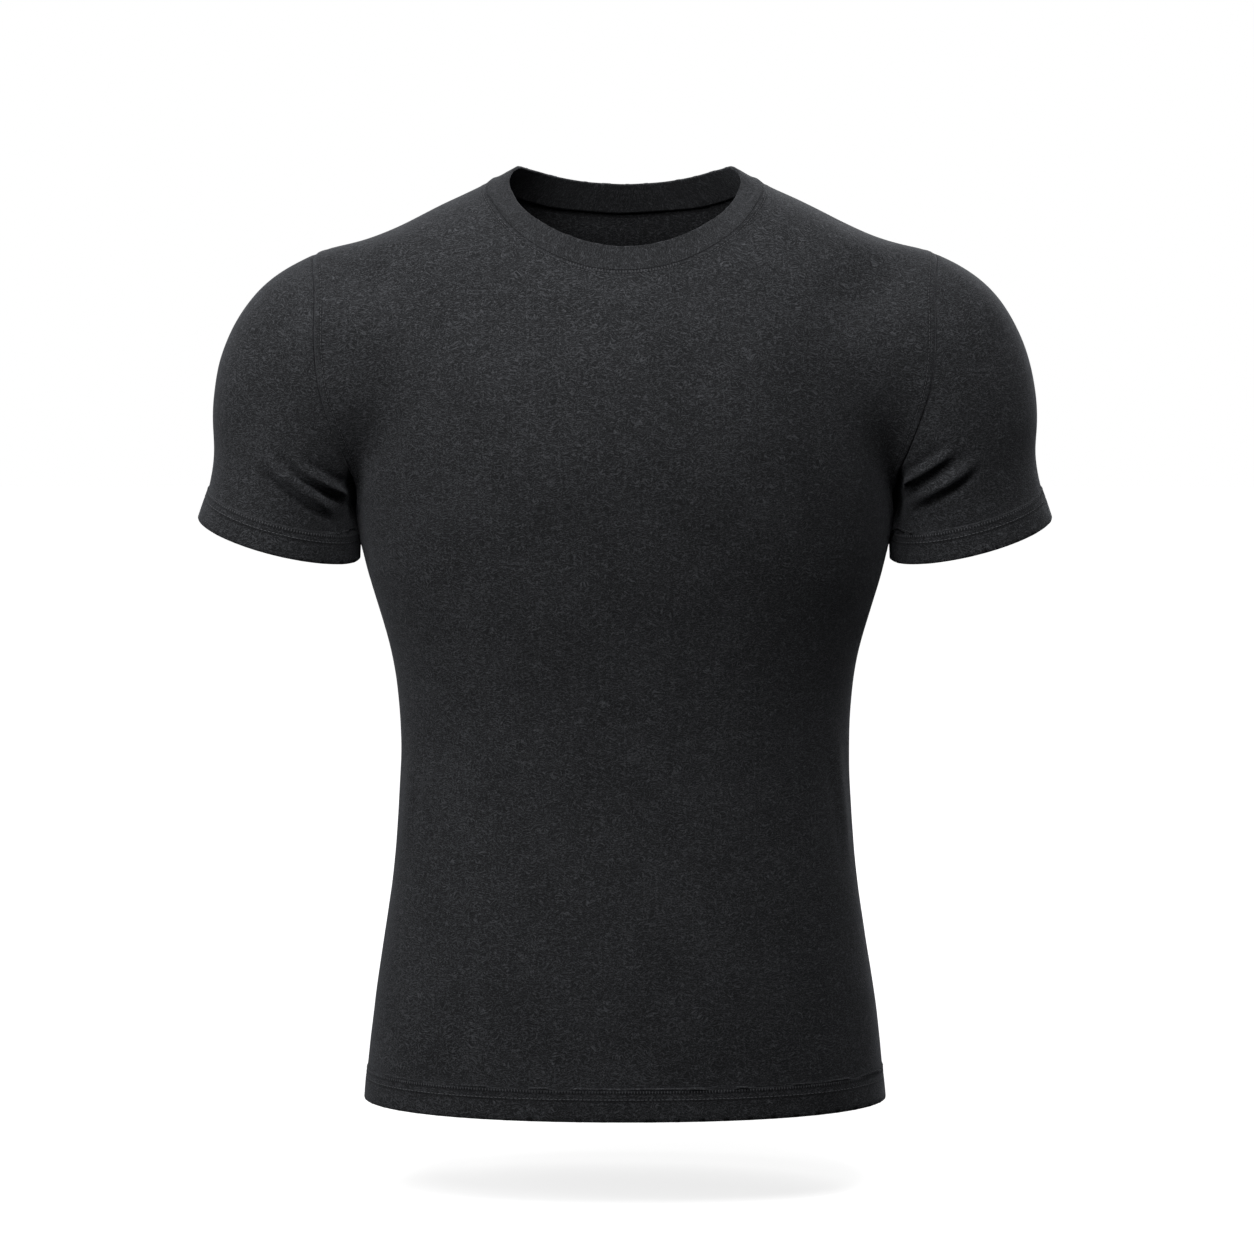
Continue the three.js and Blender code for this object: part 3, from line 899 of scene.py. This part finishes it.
elsewhere = vector_math(marl, "ADD", bent, (37.0, 11.0, 5.0))
PATTERNS = [  # each pattern and its weight
    (strands(bent, (0.22, 0.70, 1.0), 18.0), 0.45),
    (strands(elsewhere, (0.38, 0.52, 1.0), 22.0), 0.40),
    (noise_at(marl, flat, 1.25, 1.0, 0.5).outputs["Fac"], 0.80),
    (noise_at(marl, flat, 0.02, 2.0, 0.5).outputs["Fac"], 0.25),
]
DARKEST, LIGHTEST = 0.38, 1.48  # the sums that are all dark yarn and all light yarn
mixed = 0.0
for pattern, weight in PATTERNS:
    mixed = calc(marl, "ADD", calc(marl, "MULTIPLY", pattern, weight), mixed)
shade = between(marl, mixed, DARKEST, LIGHTEST)
dots = marl.nodes.new("ShaderNodeTexVoronoi")
dots.inputs["Scale"].default_value = 0.14
marl.links.new(bent, dots.inputs["Vector"])
speck = calc(marl, "LESS_THAN", dots.outputs["Distance"], 0.055)
rare = calc(marl, "GREATER_THAN", noise_at(marl, flat, 0.05, 1.0).outputs["Fac"], 0.60)
marl.links.new(shade, end.inputs["Marl"])
marl.links.new(calc(marl, "MULTIPLY", speck, rare), end.inputs["Speck"])
print("marl group:", len(marl.nodes), "nodes")

# %% [markdown]
# ## Painted shade and puckers along the seams
#
# Where two pieces meet, the seam's crevice is in shade, with tiny puckers across it, and a row of
# stitches lies in a shaded groove. The stored distances place them: painted shade darkens the last
# millimetre beside the seam and a thin line at each row, and the cloth lifts and dips in short waves.

# %% The seam group
seam, start, end = group(
    "seam_lines",
    [
        ("Distance", "NodeSocketFloat", None),
        ("Row", "NodeSocketFloat", 0.005),
        ("Second Row", "NodeSocketFloat", 1.0),
        ("Flat", "NodeSocketVector", None),
    ],
    [("Dark", "NodeSocketFloat"), ("Pucker", "NodeSocketFloat")],
)
# painted shade: the last millimetre by the seam is darkened, and a thin line at each row a little less
ROW_SHADE = 0.8
distance = start.outputs["Distance"]
dark = calc(seam, "SUBTRACT", 1.0, between(seam, distance, 0.3 * MM, 1.3 * MM))
for row in ("Row", "Second Row"):
    from_row = calc(seam, "ABSOLUTE", calc(seam, "SUBTRACT", distance, start.outputs[row]))
    on_row = calc(seam, "SUBTRACT", 1.0, between(seam, from_row, 0.3 * MM, 1.4 * MM))
    dark = calc(seam, "MAXIMUM", dark, calc(seam, "MULTIPLY", on_row, ROW_SHADE))
waves = noise_at(seam, start.outputs["Flat"], 230.0, 1.0).outputs["Fac"]
strip = calc(seam, "SUBTRACT", 1.0, between(seam, distance, 4 * MM, 10 * MM))
seam.links.new(dark, end.inputs["Dark"])
seam.links.new(calc(seam, "MULTIPLY", waves, strip), end.inputs["Pucker"])
print("seam group:", len(seam.nodes), "nodes")


# %% The cloth materials
MARL_HEIGHT = 0.12 * MM
PUCKER_HEIGHT = 0.25 * MM
# painted shade: how far the seam and groove lines darken the cloth
SEAM_SHADE = 0.7
SPECK_SHARE = 0.5


def mix(tree, low, high):
    """A Mix node between two colours; None leaves its first colour to be linked."""
    node = tree.nodes.new("ShaderNodeMix")
    node.data_type = "RGBA"
    if low:
        node.inputs["A"].default_value = (*low, 1)
    node.inputs["B"].default_value = (*high, 1)
    return node


def jersey(name, dark_yarn, light_yarn, seam_kinds):
    """Dull jersey with a soft nap; seam_kinds gives each seam's attribute and its two rows of painted
    shade.
    """
    material = bpy.data.materials.new(name)
    material.use_nodes = True
    tree = material.node_tree
    shader = tree.nodes["Principled BSDF"]
    shader.inputs["Roughness"].default_value = 0.92
    shader.inputs["Specular IOR Level"].default_value = 0.18
    shader.inputs["Sheen Weight"].default_value = 0.35
    shader.inputs["Sheen Roughness"].default_value = 0.45
    shader.inputs["Sheen Tint"].default_value = (0.55, 0.57, 0.62, 1)
    flat = tree.nodes.new("ShaderNodeUVMap")
    flat.uv_map = "UVMap"
    knit = tree.nodes.new("ShaderNodeGroup")
    knit.node_tree = marl
    tree.links.new(flat.outputs[0], knit.inputs["Flat"])
    yarn = mix(tree, dark_yarn, light_yarn)
    tree.links.new(knit.outputs["Marl"], yarn.inputs["Factor"])
    specks = mix(tree, None, (0.10, 0.10, 0.11))
    share = calc(tree, "MULTIPLY", knit.outputs["Speck"], SPECK_SHARE)
    tree.links.new(share, specks.inputs["Factor"])
    tree.links.new(yarn.outputs["Result"], specks.inputs["A"])
    colour = specks.outputs["Result"]
    height = calc(tree, "MULTIPLY", knit.outputs["Marl"], MARL_HEIGHT)
    for kind, row, second_row in seam_kinds:
        stored = tree.nodes.new("ShaderNodeAttribute")
        stored.attribute_name = kind
        sewing = tree.nodes.new("ShaderNodeGroup")
        sewing.node_tree = seam
        sewing.inputs["Row"].default_value = row
        sewing.inputs["Second Row"].default_value = second_row
        tree.links.new(stored.outputs["Fac"], sewing.inputs["Distance"])
        tree.links.new(flat.outputs[0], sewing.inputs["Flat"])
        # painted shade: the seam's crevice and the grooves by its rows are mixed towards near black
        painted_seam_shade = mix(tree, None, (0.006, 0.006, 0.007))
        share = calc(tree, "MULTIPLY", sewing.outputs["Dark"], SEAM_SHADE)
        tree.links.new(share, painted_seam_shade.inputs["Factor"])
        tree.links.new(colour, painted_seam_shade.inputs["A"])
        colour = painted_seam_shade.outputs["Result"]
        pucker = calc(tree, "MULTIPLY", sewing.outputs["Pucker"], PUCKER_HEIGHT)
        height = calc(tree, "ADD", height, pucker)
    bump = tree.nodes.new("ShaderNodeBump")
    bump.inputs["Distance"].default_value = 1.0
    bump.inputs["Strength"].default_value = 1.0
    tree.links.new(height, bump.inputs["Height"])
    tree.links.new(bump.outputs[0], shader.inputs["Normal"])
    tree.links.new(colour, shader.inputs["Base Color"])
    return material


DARK_YARN = (0.0125, 0.0129, 0.0140)
LIGHT_YARN = (0.0960, 0.0994, 0.1083)
NO_ROW = 1.0  # further than any point of the cloth
# the painted shade of each groove lies this far under its row of stitches
UNDER = 1.1 * MM  # the groove shows just under its row of stitches
BODY_SEAMS = [
    ("armhole_seam", ARMHOLE_ROW, NO_ROW),
    ("neck_seam", NECK_ROW, NO_ROW),
    ("side_seam", NO_ROW, NO_ROW),
    ("hem_edge", BODY_ROWS[0] - UNDER, BODY_ROWS[1] - UNDER),
]
SLEEVE_SEAMS = [
    ("armhole_seam", NO_ROW, NO_ROW),
    ("cuff_edge", CUFF_ROWS[0] - UNDER, CUFF_ROWS[1] - UNDER),
]
body_cloth = jersey("marled_body", DARK_YARN, LIGHT_YARN, BODY_SEAMS)
sleeve_cloth = jersey("marled_sleeve", DARK_YARN, LIGHT_YARN, SLEEVE_SEAMS)
SHADED_BAND_YARN = (0.0740, 0.0766, 0.0834)  # painted shade: less light yarn than the body's darkens the band, which faces up into the light
shaded_band_cloth = jersey("marled_band", DARK_YARN, SHADED_BAND_YARN, [("neck_seam", NO_ROW, NO_ROW)])
FINISH = {
    "front_panel": (body_cloth, "body_jersey"),
    "back_panel": (body_cloth, "body_jersey"),
    "sleeve_right": (sleeve_cloth, "sleeve_jersey"),
    "sleeve_left": (sleeve_cloth, "sleeve_jersey"),
    "neck_band": (shaded_band_cloth, "neck_band"),
}
print("cloth materials:", body_cloth.name, sleeve_cloth.name, shaded_band_cloth.name)

# %% [markdown]
# ## Sewing thread
#
# Polyester thread is smoother than the jersey, so it shines a little. Its colour is lighter than the
# cloth, a painted highlight, and its twisted plies show as small changes of shade.

# %% The thread material
thread = bpy.data.materials.new("twisted_thread")
thread.use_nodes = True
tree = thread.node_tree
shader = tree.nodes["Principled BSDF"]
shader.inputs["Roughness"].default_value = 0.55
shader.inputs["Specular IOR Level"].default_value = 0.35
where = tree.nodes.new("ShaderNodeTexCoord")
plies = noise_at(tree, where.outputs["Object"], 2600.0, 1.0)
# painted highlight: the thread is coloured lighter than the cloth, and its plies vary that at random
twist = mix(tree, (0.085, 0.087, 0.094), (0.150, 0.154, 0.165))
tree.links.new(plies.outputs["Fac"], twist.inputs["Factor"])
tree.links.new(twist.outputs["Result"], shader.inputs["Base Color"])
print("thread material:", thread.name)

# %% [markdown]
# ## Each piece takes the place of its CAD solid
#
# Each cloth piece gets its material, replaces its plain CAD solid, which is hidden, and rides on the one
# body. The stitches ride along.

for node, part in cloth.items():
    material, slot = FINISH[node]
    part.data.materials.append(material)
    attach(part, "root")
    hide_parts(node)
    width, length, area = cuts[node]
for sewn in thread_of.values():
    sewn.data.materials.append(thread)
    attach(sewn, "root")

# %% [markdown]
# ## Studio
#
# The shirt hovers just above a white floor in a white room. A large soft light hangs close and high in
# front, so the shoulders and the chest are brightest and the waist falls away, and two more fill it in
# from the left of the picture. Weaker lights run along the outlines, where the nap of the cloth glows.
# The paper glows for the camera only, so it looks white and yet sends no light up into the shirt.

# %% Floor, lights and camera
FLOOR = -0.762
PAPER = 0.7
NEAR_PAINTED_GLOW = 0.81  # painted light: the paper's glow near the shirt, weaker than far off, so the shirt's shadow shows
FAR_PAINTED_GLOW = 1.0
WHITE = (1, 1, 1, 1)
ROOM_LIGHT = 0.038
bpy.ops.object.select_all(action="DESELECT")
bpy.ops.mesh.primitive_plane_add(size=40, location=(0, 0, FLOOR))
floor = bpy.context.object
floor.name = "floor"
bpy.ops.object.transform_apply(location=True, rotation=True, scale=True)
paper = bpy.data.materials.new("white_paper")
paper.use_nodes = True
shader = paper.node_tree.nodes["Principled BSDF"]
shader.inputs["Roughness"].default_value = 1.0
shader.inputs["Specular IOR Level"].default_value = 0.0
shader.inputs["Emission Color"].default_value = WHITE
tree = paper.node_tree
bounce = tree.nodes.new("ShaderNodeLightPath")
spot = tree.nodes.new("ShaderNodeTexCoord")
away = tree.nodes.new("ShaderNodeVectorMath")
away.operation = "LENGTH"
tree.links.new(vector_math(tree, "MULTIPLY", spot.outputs["Object"], (1, 1, 0)), away.inputs[0])
# painted light: the paper glows for the camera, less within a metre of the shirt than far off
far = between(tree, away.outputs["Value"], 0.9, 2.6)
glow = calc(tree, "ADD", calc(tree, "MULTIPLY", far, FAR_PAINTED_GLOW - NEAR_PAINTED_GLOW), NEAR_PAINTED_GLOW)
glow = calc(tree, "MULTIPLY", glow, bounce.outputs["Is Camera Ray"])
shown = calc(tree, "MULTIPLY", bounce.outputs["Is Camera Ray"], PAPER)
tree.links.new(shown, shader.inputs["Base Color"])
tree.links.new(glow, shader.inputs["Emission Strength"])
floor.data.materials.append(paper)

room = bpy.data.worlds.new("white_room")
bpy.context.scene.world = room
room.use_nodes = True
tree = room.node_tree
tree.nodes.clear()
seen = tree.nodes.new("ShaderNodeBackground")
seen.inputs["Strength"].default_value = 1.0
lit = tree.nodes.new("ShaderNodeBackground")
lit.inputs["Strength"].default_value = ROOM_LIGHT
path = tree.nodes.new("ShaderNodeLightPath")
either = tree.nodes.new("ShaderNodeMixShader")
out = tree.nodes.new("ShaderNodeOutputWorld")
seen.inputs["Color"].default_value = WHITE
lit.inputs["Color"].default_value = WHITE
tree.links.new(path.outputs["Is Camera Ray"], either.inputs[0])
tree.links.new(lit.outputs[0], either.inputs[1])
tree.links.new(seen.outputs[0], either.inputs[2])
tree.links.new(either.outputs[0], out.inputs["Surface"])


def soft_light(name, place, aim, size, power):
    data = bpy.data.lights.new(name, "AREA")
    data.shape = "RECTANGLE"
    data.size, data.size_y = size
    data.energy = power
    lamp = bpy.data.objects.new(name, data)
    bpy.context.scene.collection.objects.link(lamp)
    lamp.location = place
    lamp.rotation_euler = (Vector(aim) - Vector(place)).to_track_quat("-Z", "Y").to_euler()


CHEST = (0, 0, -0.25)
soft_light("high_light", (0.2, -0.95, 1.2), CHEST, (1.2, 1.0), 14.5)
soft_light("side_light", (-2.3, -1.1, 0.2), CHEST, (1.0, 1.4), 14)
soft_light("top_light", (0, -0.2, 2.0), CHEST, (3.0, 1.6), 12)
soft_light("left_light", (-0.8, -1.1, 0.8), CHEST, (0.8, 0.8), 9)
soft_light("right_edge_light", (2.0, 1.2, 0.2), CHEST, (0.7, 1.8), 1.5)
soft_light("back_light", (0.8, 2.3, 1.3), CHEST, (1.4, 1.4), 24)

TARGET = Vector((0.0015, 0, -0.341))
DISTANCE = 3.0
ELEVATION = math.radians(3.5)
FRAME_WIDTH = 0.9405  # what the picture spans at the target, in metres
eye = bpy.data.cameras.new("camera")
eye.sensor_width = 36
eye.lens = 36 * DISTANCE / FRAME_WIDTH
camera = bpy.data.objects.new("camera", eye)
bpy.context.scene.collection.objects.link(camera)
camera.location = TARGET + DISTANCE * Vector((0, -math.cos(ELEVATION), math.sin(ELEVATION)))
camera.rotation_euler = (TARGET - camera.location).to_track_quat("-Z", "Y").to_euler()
bpy.context.scene.camera = camera
bpy.context.scene.view_settings.view_transform = "Standard"
print("camera at", tuple(round(v, 3) for v in camera.location), "lens", round(eye.lens, 1))
